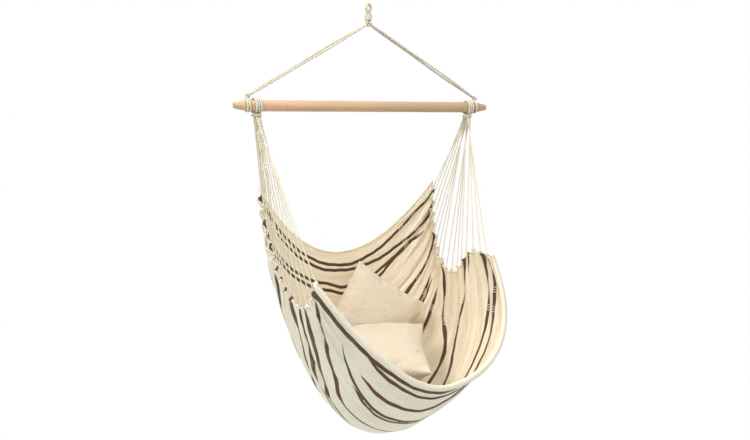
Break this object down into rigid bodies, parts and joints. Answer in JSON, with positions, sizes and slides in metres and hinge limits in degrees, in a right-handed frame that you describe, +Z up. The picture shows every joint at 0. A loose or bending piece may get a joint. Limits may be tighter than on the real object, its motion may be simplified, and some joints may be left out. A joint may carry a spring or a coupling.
{
  "type": "hammock chair",
  "caption": "Hanging hammock chair: a striped cloth seat on fans of cords below a round wooden spreader bar, with a rope harness up to a hanging eye and loose cushions inside.",
  "frame": {"origin": "the hanging point: the lowest point of the rope eye's crown, where a hook bears on it", "axes": "+Z up, +X along the spreader bar to the sitter's left, the sitter faces -Y, +Y is the back rim's side"},
  "size_m": [1.1, 0.7277, 1.6282],
  "materials": {
    "bar_wood": "fine sanded light hardwood, oiled",
    "rope": "soft twisted cotton rope, undyed",
    "cord": "thin twisted cotton cord, undyed",
    "seat_cloth": "woven cotton canvas, cream with pairs of dark brown stripes",
    "cushion_fabric": "plain beige cotton canvas"
  },
  "bodies": {
    "eye": {"hanging_eye_front_strand": "rope", "hanging_eye_back_strand": "rope"},
    "neck": {"neck_whipping": "cord"},
    "knot": {"apex_knot": "rope"},
    "suspension": {"left_front_suspension_strand": "rope", "left_back_suspension_strand": "rope", "right_front_suspension_strand": "rope", "right_back_suspension_strand": "rope", "left_hitch_knot": "rope", "right_hitch_knot": "rope", "left_bar_hitch": "rope", "right_bar_hitch": "rope", "spreader_bar": "bar_wood"},
    "seat": {"left_harness_eye": "rope", "right_harness_eye": "rope", "left_fan_binding": "cord", "right_fan_binding": "cord", "left_fan_cord_01": "cord", "left_fan_cord_02": "cord", "left_fan_cord_03": "cord", "left_fan_cord_04": "cord", "left_fan_cord_05": "cord", "left_fan_cord_06": "cord", "left_fan_cord_07": "cord", "left_fan_cord_08": "cord", "left_fan_cord_09": "cord", "left_fan_cord_10": "cord", "left_fan_cord_11": "cord", "left_fan_cord_12": "cord", "left_fan_cord_13": "cord", "left_fan_cord_14": "cord", "left_fan_cord_15": "cord", "left_fan_cord_16": "cord", "right_fan_cord_01": "cord", "right_fan_cord_02": "cord", "right_fan_cord_03": "cord", "right_fan_cord_04": "cord", "right_fan_cord_05": "cord", "right_fan_cord_06": "cord", "right_fan_cord_07": "cord", "right_fan_cord_08": "cord", "right_fan_cord_09": "cord", "right_fan_cord_10": "cord", "right_fan_cord_11": "cord", "right_fan_cord_12": "cord", "right_fan_cord_13": "cord", "right_fan_cord_14": "cord", "right_fan_cord_15": "cord", "right_fan_cord_16": "cord", "seat_cloth": "seat_cloth"},
    "back_pillow": {"back_cushion": "cushion_fabric"},
    "seat_pillow": {"seat_cushion": "cushion_fabric"}
  },
  "joints": [
    {"name": "hook_turn", "type": "hinge", "parent": "eye", "child": "neck", "pos_m": [0, 0, -0.071], "axis": [0, 0, 1], "range_deg": [-90, 90]},
    {"name": "side_sway", "type": "hinge", "parent": "neck", "child": "knot", "pos_m": [0, 0, -0.071], "axis": [0, 1, 0], "range_deg": [-10, 10]},
    {"name": "fore_aft_swing", "type": "hinge", "parent": "knot", "child": "suspension", "pos_m": [0, 0, -0.071], "axis": [1, 0, 0], "range_deg": [-25, 25]},
    {"name": "seat_tilt", "type": "hinge", "parent": "suspension", "child": "seat", "pos_m": [0, 0, -0.388], "axis": [1, 0, 0], "range_deg": [-20, 20]},
    {"name": "back_cushion_lift", "type": "slide", "parent": "seat", "child": "back_pillow", "axis": [0, 0, 1], "range_m": [0, 0.6]},
    {"name": "seat_cushion_lift", "type": "slide", "parent": "seat", "child": "seat_pillow", "axis": [0, -0.5, 0.866], "range_m": [0, 0.7]}
  ]
}
